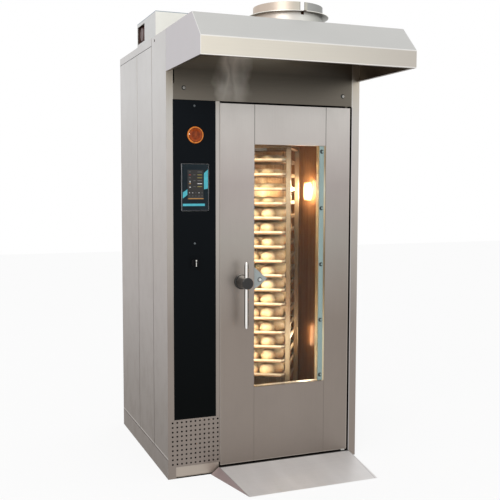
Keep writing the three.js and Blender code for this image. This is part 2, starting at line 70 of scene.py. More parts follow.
ROLLS = {"a4": -141, "a3": -88, "pitch_a": 94, "b": -246, "pitch_b": 70.5, "rows": 8, "stray": 4}
LAMP_X, LAMP_Z = 1030, 1512  # the light that the chamber lamp gives
TALL_Z, TALL = 1090, 1.25  # middle in mm and length in m of the tall lamps at the window


def fx(x):
    """Millimetres from the cabinet's left side, as an x of the row frame."""
    return (x - W / 2) * MM


def fy(y):
    """Millimetres behind the cabinet's front, as a y of the row frame."""
    return (y - D / 2) * MM


def at(x, y, z):
    """A point in millimetres from the cabinet's left front floor corner, in the row frame."""
    return Vector((fx(x), fy(y), z * MM))


def on_rack(a, b, z):
    """A point across, along and above the rack, which stands turned by REST degrees."""
    c, s = math.cos(math.radians(REST)), math.sin(math.radians(REST))
    return at(AXIS_X + a * c + b * s, AXIS_Y - a * s + b * c, z)


# ------------------------------ camera
CAMERA = at(-1099.3, -3965.4, 1544.5)
YAW, PITCH, ROLL = math.radians(21.447), math.radians(-4.605), math.radians(0.125)
FOCAL_PX, FRAME_PX, SENSOR = 798.98, 500, 36


def make_camera():
    forward = Vector((math.sin(YAW) * math.cos(PITCH), math.cos(YAW) * math.cos(PITCH),
                      math.sin(PITCH)))
    level = Vector((math.cos(YAW), -math.sin(YAW), 0))
    upright = level.cross(forward)
    right = math.cos(ROLL) * level + math.sin(ROLL) * upright
    up = math.cos(ROLL) * upright - math.sin(ROLL) * level
    data = bpy.data.cameras.new("camera")
    data.sensor_width = SENSOR
    data.lens = SENSOR * FOCAL_PX / FRAME_PX
    camera = bpy.data.objects.new("camera", data)
    bpy.context.scene.collection.objects.link(camera)
    turn = Matrix((right, up, -forward)).transposed().to_4x4()
    camera.matrix_world = Matrix.Translation(CAMERA) @ turn
    bpy.context.scene.camera = camera


# ------------------------------ materials
GRAIN = {"X": (5, 900, 900), "Z": (900, 900, 5)}
TOP = 2.4  # height in metres at which a ramp of tones ends
FACING = 0.7  # how far a normal leans to count as facing along an axis


class Shader:
    """A material with one Principled surface and short calls for the nodes that feed it."""

    def __init__(self, name, **sockets):
        self.mat = bpy.data.materials.new(name)
        self.mat.use_nodes = True
        self.tree = self.mat.node_tree
        self.tree.nodes.clear()
        out = self.tree.nodes.new("ShaderNodeOutputMaterial")
        self.bsdf = self.tree.nodes.new("ShaderNodeBsdfPrincipled")
        self.tree.links.new(self.bsdf.outputs["BSDF"], out.inputs["Surface"])
        coords = self.tree.nodes.new("ShaderNodeTexCoord")
        self.where, self.facing = coords.outputs["Object"], coords.outputs["Normal"]
        for key, value in sockets.items():
            self.put(key.replace("_", " "), value)

    def put(self, socket, value):
        target = self.bsdf.inputs[socket]
        if isinstance(value, bpy.types.NodeSocket):
            self.tree.links.new(value, target)
        else:
            target.default_value = value
        return self

    def _feed(self, node, index, value):
        if isinstance(value, bpy.types.NodeSocket):
            self.tree.links.new(value, node.inputs[index])
        else:
            node.inputs[index].default_value = value

    # numbers and masks; a mask is 1 where its condition holds
    def math(self, kind, a, b=0.0):
        node = self.tree.nodes.new("ShaderNodeMath")
        node.operation = kind
        self._feed(node, 0, a)
        self._feed(node, 1, b)
        return node.outputs[0]

    def plus(self, a, b):
        return self.math("ADD", a, b)

    def times(self, first, *others):
        for other in others:
            first = self.math("MULTIPLY", first, other)
        return first

    def either(self, first, *others):
        for other in others:
            first = self.math("MAXIMUM", first, other)
        return first

    def over(self, value, limit):
        return self.math("GREATER_THAN", value, limit)

    def under(self, value, limit):
        return self.math("LESS_THAN", value, limit)

    def within(self, value, low, high):
        return self.times(self.over(value, low), self.under(value, high))

    def off(self, value, middle=0.0):
        return self.math("ABSOLUTE", self.plus(value, -middle))

    def near(self, value, middle, reach):
        return self.under(self.off(value, middle), reach)

    def radius(self, a, b):
        return self.math("SQRT", self.plus(self.times(a, a), self.times(b, b)))

    def span(self, value, low, high, to_low=0.0, to_high=1.0):
        node = self.tree.nodes.new("ShaderNodeMapRange")
        node.inputs["From Min"].default_value = low
        node.inputs["From Max"].default_value = high
        node.inputs["To Min"].default_value = to_low
        node.inputs["To Max"].default_value = to_high
        self.tree.links.new(value, node.inputs["Value"])
        return node.outputs[0]

    # where a point is, which way it faces, and noise
    def axes(self, vector=None):
        node = self.tree.nodes.new("ShaderNodeSeparateXYZ")
        self.tree.links.new(vector or self.where, node.inputs[0])
        return node.outputs

    def normal(self):
        return self.axes(self.facing)

    def noise(self, stretch, detail=3.0, rough=0.5, scale=1.0):
        place = self.tree.nodes.new("ShaderNodeMapping")
        place.inputs["Scale"].default_value = stretch
        self.tree.links.new(self.where, place.inputs["Vector"])
        node = self.tree.nodes.new("ShaderNodeTexNoise")
        node.inputs["Scale"].default_value = scale
        node.inputs["Detail"].default_value = detail
        node.inputs["Roughness"].default_value = rough
        self.tree.links.new(place.outputs[0], node.inputs["Vector"])
        return node.outputs["Fac"]

    def brushed(self, way):
        return self.noise(GRAIN[way], 4.0, 0.6)

    def spread(self, noise, low, high):
        """Noise, which stays between about 0.3 and 0.7, drawn out from low to high."""
        return self.span(noise, 0.3, 0.7, low, high)

    # colours
    def ramp(self, value, stops):
        node = self.tree.nodes.new("ShaderNodeValToRGB")
        self.tree.links.new(value, node.inputs[0])
        band = node.color_ramp
        while len(band.elements) < len(stops):
            band.elements.new(0.5)
        for element, (place, color) in zip(band.elements, stops):
            element.position = place
            element.color = (*color, 1)
        return node.outputs["Color"]

    def by_height(self, tones):
        height = self.math("DIVIDE", self.axes()[2], TOP)
        return self.ramp(height, [(z / TOP, color) for z, color in tones])

    def mix(self, factor, a, b, kind="MIX"):
        node = self.tree.nodes.new("ShaderNodeMix")
        node.data_type = "RGBA"
        node.blend_type = kind
        self._feed(node, 0, factor)
        self._feed(node, 6, (*a, 1) if isinstance(a, tuple) else a)
        self._feed(node, 7, (*b, 1) if isinstance(b, tuple) else b)
        return node.outputs[2]

    def scaled(self, color, factor):
        grey = self.tree.nodes.new("ShaderNodeCombineXYZ")
        for i in range(3):
            self._feed(grey, i, factor)
        return self.mix(1.0, color, grey.outputs[0], "MULTIPLY")

    # whole surfaces
    def bump(self, height, strength, distance=0.0004):
        node = self.tree.nodes.new("ShaderNodeBump")
        node.inputs["Strength"].default_value = strength
        node.inputs["Distance"].default_value = distance
        self.tree.links.new(height, node.inputs["Height"])
        self.tree.links.new(node.outputs[0], self.bsdf.inputs["Normal"])
        return self

    def sheet(self, base, grain, tone, rough, relief=0.05):
        """Brushed metal: the grain shows in the tone, in the gloss and as a fine relief."""
        brushed = self.brushed(grain)
        self.put("Base Color", self.scaled(base, self.spread(brushed, *tone)))
        self.put("Roughness", self.spread(brushed, *rough))
        return self.bump(brushed, relief)

    def mottled(self, base, vary, rough):
        """Paint or moulded plastic with a faint mottle and a fine texture."""
        mottle = self.noise((9, 9, 9), 4.0)
        fine = self.noise((60, 60, 60), 2.0, scale=8.0)
        self.put("Base Color", self.scaled(base, self.spread(mottle, 1 - vary, 1 + vary)))
        self.put("Roughness", self.spread(fine, rough - 0.05, rough + 0.05))
        return self.bump(fine, 0.05)


def steel(name, tones, rough=0.38, grain="Z", metallic=1.0, cloud=0.06):
    """Brushed sheet: tones are (height in metres, colour), with fine grain and soft handling marks."""
    s = Shader(name, Metallic=metallic)
    brushed = s.brushed(grain)
    clouds = s.noise((2.6, 2.6, 1.4))
    marks = s.noise((14, 14, 9), 5.0, 0.65)
    tone = s.times(s.spread(clouds, 1 - cloud, 1 + cloud), s.spread(brushed, 0.955, 1.045))
    s.put("Base Color", s.scaled(s.by_height(tones), tone))
    s.put("Roughness", s.plus(s.spread(brushed, rough - 0.06, rough + 0.06),
                              s.span(marks, 0.45, 0.75, 0.0, 0.07)))
    return s.bump(brushed, 0.05)


def plain(name, color, rough=0.5, metallic=0.0, vary=0.05, **more):
    return Shader(name, Metallic=metallic, **more).mottled(color, vary, rough)


def glow(name, color, strength):
    s = Shader(name, Roughness=0.5)
    tint = s.scaled(color, s.spread(s.noise((60, 60, 60)), 0.9, 1.1))
    return s.put("Base Color", tint).put("Emission Color", tint).put("Emission Strength", strength)


# (height in metres, colour)
# The side, door and front strip tones are painted shade and light: darker towards the floor, lighter
# towards the top, and side and front faces get their own painted copies of one steel.
SIDE_TONES = [(0.0, (0.162, 0.130, 0.106)), (0.35, (0.225, 0.192, 0.168)),
              (0.9, (0.388, 0.35, 0.33)), (1.3, (0.46, 0.42, 0.395)), (2.1, (0.62, 0.605, 0.595))]
DOOR_TONES = [(0.2, (0.278, 0.238, 0.209)), (0.8, (0.283, 0.240, 0.209)),
              (1.0, (0.334, 0.293, 0.261)), (1.25, (0.400, 0.368, 0.335)),
              (1.55, (0.450, 0.400, 0.379)), (1.92, (0.68, 0.645, 0.61))]
STRIP_TONES = [(0.2, (0.272, 0.232, 0.205)), (0.8, (0.300, 0.262, 0.235)),
               (1.25, (0.440, 0.405, 0.368)), (1.55, (0.520, 0.475, 0.445)),
               (1.92, (0.605, 0.58, 0.54)), (2.1, (0.62, 0.56, 0.47))]
# The rack's tones paint bands of light and shade up its height.
RACK_TONES = [(0.1, (0.24, 0.16, 0.09)), (0.5, (0.50, 0.36, 0.21)), (0.7, (0.60, 0.46, 0.29)),
              (0.86, (0.35, 0.215, 0.12)), (1.0, (0.22, 0.14, 0.078)), (1.15, (0.24, 0.165, 0.09)),
              (1.3, (0.32, 0.235, 0.145)), (1.42, (0.45, 0.345, 0.23)), (1.53, (0.55, 0.44, 0.30)),
              (1.62, (0.45, 0.335, 0.22)), (1.745, (0.40, 0.29, 0.185)), (1.76, (0.20, 0.125, 0.07))]
MACHINED_TONES = [(z, (0.3, 0.29, 0.28)) for z in (0.0, TOP)]
GLASS_EDGE_TONES = [(0.0, (0.30, 0.43, 0.42)), (2.0, (0.44, 0.58, 0.56))]
# (how far the face turns up and the noise is high, colour); the paler tones on faces turned up and the
# darker ones on lower sides are painted light and shade, and the noise gives the crust's own mottle
ROLL_TONES = [(0.2, (0.60, 0.36, 0.16)), (0.42, (0.80, 0.58, 0.32)),
              (0.62, (0.88, 0.72, 0.47)), (0.95, (0.88, 0.73, 0.49))]
PASTRY_TONES = [(0.2, (0.50, 0.27, 0.09)), (0.45, (0.82, 0.56, 0.26)),
                (0.62, (0.95, 0.80, 0.52)), (0.95, (0.97, 0.90, 0.68))]


def make_materials():
    shaders = {
        "side": casing_steel(),
        "door": door_steel(),
        "header": header_steel(),
        "hood": hood_steel(),
        "collar": collar_steel(),
        "ramp": ramp_steel(),
        "panel": panel_glass(),
        "plastic": plain("black_plastic", (0.006, 0.006, 0.007), 0.45, vary=0.15,
                         Specular_IOR_Level=0.12),
        "white": plain("white_mark", (0.78, 0.77, 0.73), 0.4),
        "paint": box_paint(),
        "motor": plain("motor_paint", (0.07, 0.022, 0.018), 0.4),
        "grey": plain("grey_paint", (0.12, 0.14, 0.15), 0.4),
        "machined": steel("machined_steel", MACHINED_TONES, 0.35, "X"),
        "chain": plain("oiled_chain", (0.11, 0.095, 0.08), 0.35, 0.9, 0.3),
        "chamber": chamber_steel(),
        "core": core_steel(),
        "rack": steel("rack_steel", RACK_TONES, 0.4, "Z", 0.7),
        "tray": tray_metal(),
        "heater": plain("heater_tube", (0.07, 0.045, 0.035), 0.5, 0.7, 0.3),
        "tyre": plain("wheel_plastic", (0.03, 0.03, 0.03), 0.45),
        "rubber": plain("seal_rubber", (0.010, 0.010, 0.010), 0.75),
        "glass": pane_glass(),
        "strip": steel("strip_steel", GLASS_EDGE_TONES, 0.35, "Z", 0.5),
        "bright": bar_metal(),
        "bezel": plain("bezel_metal", (0.88, 0.89, 0.90), 0.3, 0.3, 0.1),
        "screw": plain("screw_steel", (0.50, 0.48, 0.45), 0.3, 0.9, 0.3),
        "dark": plain("shaded_steel", (0.02, 0.026, 0.026), 0.5, 0.3, 0.3),
        "hub": hub_plastic(),
        "lens": lamp_lens(),
        "lamp": lamp_glass(),
        "bun": crust("crust", ROLL_TONES),
        "pastry": crust("golden_crust", PASTRY_TONES),
    }
    return {key: shader.mat for key, shader in shaders.items()}


def casing_steel():
    """Sides and front strips of the cabinet, each with its own tones of painted shade and light, with
    painted highlights on the plinth hem and the post's edge, and painted shade on their unlit insides, in
    the vent holes and on the post beside the door gap.
    """
    s = Shader("casing_steel", Metallic=1.0)
    x, y, z = s.axes()
    front = s.under(s.normal()[1], -FACING)
    # painted shade and light: side and front faces each get their own height tones
    base = s.mix(front, s.by_height(SIDE_TONES), s.by_height(STRIP_TONES))
    # painted highlight along the plinth hem of the left side
    hem_highlight = s.times(s.under(x, fx(0.5)), s.near(z, PLINTH["fold"] * MM, 4.5 * MM))
    base = s.mix(s.times(hem_highlight, 0.35), base, (0.75, 0.70, 0.66))
    kick = s.times(s.near(y, fy(PLINTH["y"]), 0.6 * MM), s.under(z, PLINTH["top"] * MM))
    base = s.mix(kick, base, (0.45, 0.39, 0.335))
    brushed = s.brushed("Z")
    clouds = s.noise((2.6, 2.6, 1.4))
    marks = s.noise((14, 14, 9), 5.0, 0.65)
    base = s.scaled(base, s.times(s.spread(clouds, 0.97, 1.03), s.spread(brushed, 0.96, 1.04)))
    # painted highlight along the post's edge right of the door
    post_edge_highlight = s.times(front, s.near(x, fx(POST["edge"]), 2.1 * MM))
    base = s.mix(s.times(post_edge_highlight, 0.4), base, (0.72, 0.73, 0.76))
    # painted shade: the cabinet's inside, the vent holes' walls and a band of the post's front beside the
    # door gap are painted near black
    inside = s.times(s.within(x, fx(SKIN), fx(W - SKIN)), s.within(y, fy(SKIN), fy(D - SKIN)),
                     s.under(z, (H - SKIN) * MM), s.math("SUBTRACT", 1.0, kick))
    vents = s.times(s.within(x, fx(VENTS["x0"]), fx(VENTS["x1"])), s.within(y, fy(0.15), fy(VENTS["deep"])),
                    s.within(z, VENTS["z0"] * MM, VENTS["z1"] * MM))
    door_gap = s.times(front, s.within(x, fx(POST["x0"]), fx(POST["gap_shade_to"])), s.under(z, POST["top"] * MM))
    unlit = s.either(inside, vents, door_gap)
    s.put("Base Color", s.mix(unlit, base, (0.006, 0.004, 0.003)))
    rough = s.plus(s.spread(brushed, 0.36, 0.46), s.span(marks, 0.45, 0.75, 0.0, 0.07))
    s.put("Roughness", s.either(rough, unlit))
    return s.bump(brushed, 0.05)


def door_steel():
    """Brushed skins of the door, painted darker towards the bottom and towards the right, with a shadow
    line at each joint and a painted catch of light on its rim.
    """
    s = steel("door_steel", DOOR_TONES, 0.40, "Z", cloud=0.04)
    x, _, z = s.axes()
    base = s.bsdf.inputs["Base Color"].links[0].from_socket
    # painted shade: the door darkens towards its right edge
    base = s.scaled(base, s.span(x, fx(DOOR["even"]), fx(W), 1.0, 0.92))
    joint = s.near(s.off(x, fx(DOOR["joints"])), DOOR["joint"] * MM, 1.9 * MM)
    base = s.mix(s.times(joint, s.span(z, 0.7, 1.4, 0.12, 0.62)), base, (0.035, 0.028, 0.022))
    rim = s.either(s.under(z, DOOR["foot"] * MM), s.over(s.off(x, fx(DOOR["middle"])), DOOR["rim"] * MM))
    return s.put("Base Color", s.mix(s.times(rim, 0.28), base, (0.92, 0.84, 0.74)))


def bar_metal():
    """Polished round bar: light down its middle, dark where it turns away to the sides."""
    s = Shader("polished_steel", Metallic=0.9)
    x, y, _ = s.axes()
    dx, dy = s.plus(x, -fx(HUB["x"])), s.plus(y, -fy(HUB["y"]))
    across = s.math("SUBTRACT", s.times(dx, 0.932), s.times(dy, 0.362))
    base = s.ramp(s.span(across, -HUB["bar"] * MM, HUB["bar"] * MM), [
        (0.0, (0.05, 0.045, 0.04)), (0.16, (0.22, 0.20, 0.18)), (0.34, (0.95, 0.93, 0.90)),
        (0.60, (0.90, 0.87, 0.83)), (0.78, (0.20, 0.18, 0.16)), (1.0, (0.04, 0.035, 0.03))])
    brushed = s.brushed("Z")
    s.put("Base Color", s.scaled(base, s.spread(brushed, 0.95, 1.05)))
    return s.put("Roughness", s.spread(brushed, 0.16, 0.24))


def hub_plastic():
    """Glossy black moulding that catches the light along its top."""
    s = Shader("hub_plastic")
    mottle = s.noise((40, 40, 40))
    shine = s.times(s.span(s.normal()[2], 0.72, 0.98), s.spread(mottle, 0.85, 1.0))
    s.put("Base Color", s.mix(shine, (0.010, 0.009, 0.008), (0.72, 0.66, 0.60)))
    return s.put("Roughness", s.spread(mottle, 0.14, 0.22))


def collar_steel():
    """Rolled sheet with painted light and shade in soft upright bands across its round face, a flange with
    painted shade underneath, painted shade along the slot's edges, a dark rivet and a pale inside.
    """
    s = Shader("collar_steel", Metallic=1.0)
    x, y, z = s.axes()
    dx, dy = s.plus(x, -fx(FLUE["x"])), s.plus(y, -fy(FLUE["y"]))
    across, far = s.span(dx, -0.2, 0.2), s.radius(dx, dy)
    # painted light and shade across the round sleeve and neck: a light band right of the middle, dark
    # towards the sides
    sleeve = s.ramp(across, [
        (0.0, (0.42, 0.35, 0.29)), (0.08, (0.60, 0.50, 0.42)), (0.30, (0.60, 0.51, 0.43)),
        (0.50, (0.60, 0.58, 0.50)), (0.555, (0.55, 0.53, 0.46)), (0.58, (0.40, 0.40, 0.385)),
        (0.93, (0.21, 0.212, 0.20))])
    neck = s.ramp(across, [
        (0.1, (0.66, 0.56, 0.48)), (0.5, (0.80, 0.79, 0.74)), (0.75, (0.42, 0.42, 0.39)),
        (0.95, (0.16, 0.165, 0.155))])
    # painted shade on the flange's underside
    below = s.ramp(across, [
        (0.0, (0.34, 0.31, 0.27)), (0.35, (0.13, 0.105, 0.08)), (0.6, (0.09, 0.07, 0.05)),
        (0.8, (0.20, 0.19, 0.17)), (1.0, (0.62, 0.62, 0.60))])
    base = s.mix(s.under(z, (FLUE["z"] - 4) * MM), sleeve, neck)
    flange = s.mix(s.under(s.normal()[2], -0.5), (0.86, 0.84, 0.78), below)
    base = s.mix(s.over(far, (FLUE["r"] + 1) * MM), base, flange)
    # painted shade along the edges of the slot; the rivet is a dark spot
    slot_edge_shade = s.times(s.near(s.off(dx), FLUE["slot"] * MM, 1.6 * MM), s.under(dy, -0.1),
                   s.over(z, FLUE["z"] * MM))
    rivet = s.times(s.near(dx, 0.0, 8 * MM), s.under(dy, -0.17), s.near(z, FLUE["rivet"] * MM, 8 * MM))
    base = s.mix(s.either(s.times(slot_edge_shade, 0.6), rivet), base, (0.045, 0.018, 0.010))
    brushed = s.brushed("X")
    base = s.scaled(base, s.spread(brushed, 0.96, 1.04))
    s.put("Base Color", s.mix(s.under(far, (FLUE["r"] - 1.5) * MM), base, (0.85, 0.85, 0.84)))
    s.put("Roughness", s.spread(brushed, 0.34, 0.46))
    return s.bump(brushed, 0.04)


def box_paint():
    """Cream paint, greyer on its left side as painted shade, with a blue-grey top edge and a dark inside of
    painted shade.
    """
    s = Shader("cream_paint")
    x, y, z = s.axes()
    nx, _, nz = s.normal()
    # painted shade: faces turned left are greyer
    base = s.mix(s.under(nx, -FACING), (0.90, 0.90, 0.84), (0.62, 0.62, 0.615))
    edge = s.times(s.over(z, ROOF_BOX["edge"] * MM), s.under(nz, 0.5))
    base = s.mix(s.times(edge, 0.75), base, (0.20, 0.28, 0.36))
    # painted shade: the inside of the box is dark
    low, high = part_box("roof_box")
    inside = s.times(s.within(x, low[0] + 4 * MM, high[0] - 0.5 * MM),
                     s.within(y, fy(ROOF_BOX["y0"]), fy(ROOF_BOX["y1"])), s.under(z, ROOF_BOX["top"] * MM))
    return s.mottled(s.mix(inside, base, (0.09, 0.05, 0.04)), 0.03, 0.4)


def header_steel():
    """Sheet under the hood: painted lighter towards its top and at its left end, with one soft upright
    painted reflection and painted shade on faces turned down.
    """
    s = Shader("header_steel", Metallic=1.0)
    x, _, z = s.axes()
    # painted light: brighter towards the top
    base = s.ramp(s.span(z, HEADER["z0"] * MM, H * MM), [
        (0.0, (0.165, 0.147, 0.122)), (0.45, (0.17, 0.152, 0.124)), (0.72, (0.50, 0.455, 0.375)),
        (1.0, (0.95, 0.87, 0.74))])
    # painted reflection: one soft upright band of light
    shifted = s.plus(x, s.spread(s.noise((6, 6, 4)), 0.14, 0.24))
    reflection_band = s.ramp(s.span(shifted, -0.09, 0.10), [
        (0.0, (0, 0, 0)), (0.30, (0.85, 0.85, 0.85)), (0.42, (0.5, 0.5, 0.5)), (0.55, (0.8, 0.8, 0.8)),
        (1.0, (0, 0, 0))])
    fade = s.span(z, HEADER["reflection_z0"] * MM, HEADER["reflection_z1"] * MM, 0.18, 1.0)
    base = s.mix(s.times(reflection_band, fade), base, (0.92, 0.86, 0.78))
    # painted shade: faces turned down are near black
    base = s.mix(s.under(s.normal()[2], -0.5), base, (0.004, 0.003, 0.003))
    # painted light: brighter at the left end
    base = s.scaled(base, s.span(x, -0.5, -0.2, 1.25, 1.0))
    return s.sheet(base, "X", (0.93, 1.07), (0.28, 0.4))


def hood_steel():
    """Bright outside sheets, with painted light and shade by the way they face and across the fascia,
    painted highlights along the folds and the hem, and painted shade on the inside.
    """
    s = Shader("hood_steel", Metallic=1.0)
    x, _, z = s.axes()
    nx, ny, nz = s.normal()
    slope, front = s.over(nz, 0.3), s.under(ny, -0.9)
    # painted light and shade: the fascia lighter to the left, the slope and front lit and shaded copies of
    # one steel
    fascia = s.ramp(s.span(x, fx(0), fx(W)), [
        (0.0, (0.79, 0.74, 0.64)), (0.5, (0.70, 0.66, 0.58)), (1.0, (0.58, 0.54, 0.485))])
    outside = s.mix(front, s.mix(slope, (0.56, 0.535, 0.55), (0.59, 0.588, 0.57)), fascia)
    # painted highlight along the folds and the hem
    fold = s.either(s.near(z, HOOD["fold"] * MM, 3.2 * MM), s.near(x, fx(0), 3.2 * MM))
    hem_highlight = s.times(s.under(z, HOOD["hem_highlight"] * MM), front)
    lit = s.either(hem_highlight, s.times(fold, s.either(front, slope)))
    outside = s.mix(s.times(lit, 0.55), outside, (0.98, 0.97, 0.95))
    # painted shade: the hood's inside is dark brown
    cheeks = s.times(s.over(s.off(nx), 0.5), s.under(s.off(x), (W / 2 - 1) * MM))
    inside = s.either(s.under(nz, -0.3), s.over(ny, 0.3), cheeks)
    base = s.mix(inside, outside, (0.17, 0.135, 0.105))
    base = s.scaled(base, s.spread(s.noise((2.2, 2.2, 2.2)), 0.97, 1.03))
    return s.sheet(base, "X", (0.97, 1.03), (0.34, 0.46), 0.04)


def ramp_steel():
    """Pale worn sheet with scuffs along its run, painted shade on faces turned left, a faint painted shade
    line at its folds, a painted shadow along its back under the door, and painted shade towards its right.
    """
    s = Shader("ramp_steel", Metallic=0.3)
    x, y, z = s.axes()
    scuffs = s.noise((3, 40, 40), 6.0, 0.7, 2.0)
    base = s.ramp(s.noise((5, 1.2, 5), 4.0, 0.6), [
        (0.3, (0.80, 0.78, 0.77)), (0.55, (0.87, 0.845, 0.835)), (0.75, (0.94, 0.92, 0.91))])
    # painted shade: faces turned left are darker
    base = s.mix(s.under(s.normal()[0], -0.2), base, (0.41, 0.325, 0.325))
    # painted shade: a faint dark line along the folds
    half = s.span(y, fy(TREAD["y0"]), fy(TREAD["y1"]), TREAD["half0"] * MM, TREAD["half1"] * MM)
    fold = s.math("SUBTRACT", s.off(x, fx(TREAD["x"])), half)
    base = s.mix(s.times(s.near(fold, 0.0, 3 * MM), 0.3), base, (0.25, 0.25, 0.25))
    # painted shadow: the strip at the back, under the door, is near black
    base = s.mix(s.over(z, TREAD["back"] * MM), base, (0.02, 0.018, 0.016))
    # painted shade: darker towards the right
    base = s.scaled(base, s.span(x, 0.1, 0.5, 1.0, 0.92))
    brushed = s.brushed("X")
    s.put("Base Color", s.scaled(base, s.spread(brushed, 0.95, 1.05)))
    s.put("Roughness", s.plus(s.spread(brushed, 0.34, 0.46), s.span(scuffs, 0.5, 0.7, 0.0, 0.12)))
    return s.bump(scuffs, 0.04, 0.0005)


def panel_glass():
    s = Shader("black_glass", IOR=1.45, Specular_IOR_Level=0.04)
    # painted reflection: the black glass gets lighter towards the top
    base = s.ramp(s.math("DIVIDE", s.axes()[2], 2.0), [(0.2, (0.0022, 0.0030, 0.0032)),
                                                       (0.95, (0.0066, 0.0086, 0.0112))])
    dust = s.noise((30, 30, 30), 5.0, scale=4.0)
    return s.put("Base Color", base).put("Roughness", s.spread(dust, 0.10, 0.2))


def chamber_steel():
    """Stainless sheet browned by heat, streaked upright, with the seams of its panels, painted shade on
    faces turned left and on faces turned down, and painted shade near black along its front behind the
    door.
    """
    s = Shader("chamber_steel", Metallic=0.6, Specular_IOR_Level=0.3)
    x, y, _ = s.axes()
    nx, ny, nz = s.normal()
    clouds = s.noise((3, 3, 1.5), 5.0, 0.6)
    streaks = s.noise((22, 22, 0.6), 3.0, 0.55)
    base = s.ramp(s.plus(s.times(clouds, 0.45), s.times(streaks, 0.55)), [
        (0.34, (0.52, 0.38, 0.23)), (0.46, (0.72, 0.57, 0.37)), (0.58, (0.86, 0.72, 0.49)),
        (0.70, (0.94, 0.83, 0.62))])
    panels = s.math("PINGPONG", s.plus(s.plus(x, y), 10.02), CHAMBER["panel"] * MM)
    seam = s.times(s.under(panels, CHAMBER["seam"] * MM), s.under(ny, -FACING))
    base = s.mix(s.times(seam, 0.6), base, (0.10, 0.05, 0.025))
    # painted shade: faces turned left come out darker and more copper, faces turned down darker
    base = s.mix(s.under(nx, -FACING), base, s.mix(1.0, base, (0.60, 0.36, 0.23), "MULTIPLY"))
    base = s.mix(s.under(nz, -0.5), base, (0.20, 0.11, 0.06))
    # painted shade: near black along the front, behind the door
    unlit = s.under(y, fy(CHAMBER["y0"]))
    base = s.mix(unlit, base, (0.003, 0.002, 0.002))
    s.sheet(base, "Z", (0.93, 1.07), (0.24, 0.4))
    rough = s.bsdf.inputs["Roughness"].links[0].from_socket
    return s.put("Roughness", s.either(rough, unlit))


def core_steel():
    """The door's inner frame: browned about the window, plain on its inner face, with painted gold bands of
    light and shade on the window's right jamb and margin, a painted glow on that margin, painted shade
    under the lintel and painted light on the sill, and the latch plate in blue-grey and its bright bolt."""
    s = Shader("core_steel")
    x, y, z = s.axes()
    nx, ny, nz = s.normal()
    clouds = s.noise((3, 3, 1.5), 5.0, 0.6)
    browned = s.ramp(clouds, [(0.3, (0.52, 0.36, 0.20)), (0.5, (0.66, 0.50, 0.30)),
                              (0.72, (0.82, 0.68, 0.46))])
    clean = s.ramp(clouds, [(0.3, (0.42, 0.385, 0.34)), (0.5, (0.53, 0.49, 0.44)),
                            (0.72, (0.64, 0.60, 0.55))])
    inner = s.over(ny, 0.5)
    base = s.mix(inner, browned, clean)
    # painted light and shade: gold bands up the window's right jamb and margin
    jamb = s.times(s.under(nx, -FACING), s.over(x, fx(WINDOW["jamb"])))
    margin = s.times(s.within(x, fx(STRIP["x1"]), fx(WINDOW["x1"])), s.under(ny, -0.5),
                     s.near(z, WINDOW["z"] * MM, WINDOW["half"] * MM))
    painted_jamb_light = s.ramp(s.span(z, 0.4, 1.8), [
        (0.0, (0.95, 0.80, 0.55)), (0.22, (1.0, 0.92, 0.66)), (0.33, (0.66, 0.49, 0.27)),
        (0.43, (0.38, 0.27, 0.15)), (0.54, (0.38, 0.27, 0.15)), (0.72, (0.86, 0.70, 0.44)),
        (0.80, (1.0, 0.94, 0.74)), (0.90, (0.58, 0.45, 0.28))])
    base = s.mix(s.either(jamb, margin), base, painted_jamb_light)
    # painted shade under the lintel
    lintel = s.times(s.under(nz, -FACING), s.over(z, WINDOW["lintel"] * MM))
    base = s.mix(lintel, base, (0.30, 0.17, 0.09))
    # painted light on the sill
    sill = s.times(s.over(nz, FACING), s.under(z, WINDOW["sill"] * MM))
    base = s.mix(sill, base, (0.95, 0.90, 0.80))
    plate = s.times(s.within(x, fx(LATCH["x0"]), fx(LATCH["x1"])), s.near(y, fy(LATCH["y"]), 4.8 * MM),
                    s.near(z, LATCH["z"] * MM, LATCH["half"] * MM))
    base = s.mix(plate, base, (0.44, 0.49, 0.49))
    away = s.radius(s.plus(x, -fx(BOLT["x"])), s.plus(z, -BOLT["z"] * MM))
    base = s.mix(s.times(plate, s.under(away, BOLT["seat"] * MM)), base, (0.14, 0.15, 0.15))
    base = s.mix(s.times(plate, s.under(y, fy(BOLT["y"]))), base, (0.95, 0.95, 0.93))
    # painted glow: the margin emits light though it is no lamp
    s.put("Emission Color", painted_jamb_light).put("Emission Strength", s.times(margin, 0.45))
    s.put("Metallic", s.span(inner, 0.0, 1.0, 0.55, 1.0))
    return s.sheet(base, "Z", (0.93, 1.07), (0.26, 0.4))


def tray_metal():
    """Sheet spotted by baking, browner along the foot of each tray."""
    s = Shader("tray_metal", Metallic=0.55)
    spots = s.noise((30, 30, 30), 5.0, 0.7)
    base = s.ramp(spots, [(0.35, (0.62, 0.49, 0.33)), (0.6, (0.80, 0.68, 0.50))])
    level = s.math("MODULO", s.plus(s.axes()[2], -(TRAY["z0"] - 5) * MM), TRAY["pitch"] * MM)
    s.put("Base Color", s.mix(s.under(level, 12.5 * MM), base, (0.28, 0.16, 0.08)))
    return s.put("Roughness", s.spread(spots, 0.42, 0.55))


def pane_glass():
    s = Shader("pane_glass", Roughness=0.04, IOR=1.45, Alpha=0.06)
    smears = s.noise((6, 6, 3), 4.0)
    return s.put("Base Color", s.ramp(smears, [(0.3, (0.05, 0.06, 0.055)), (0.7, (0.10, 0.11, 0.10))]))


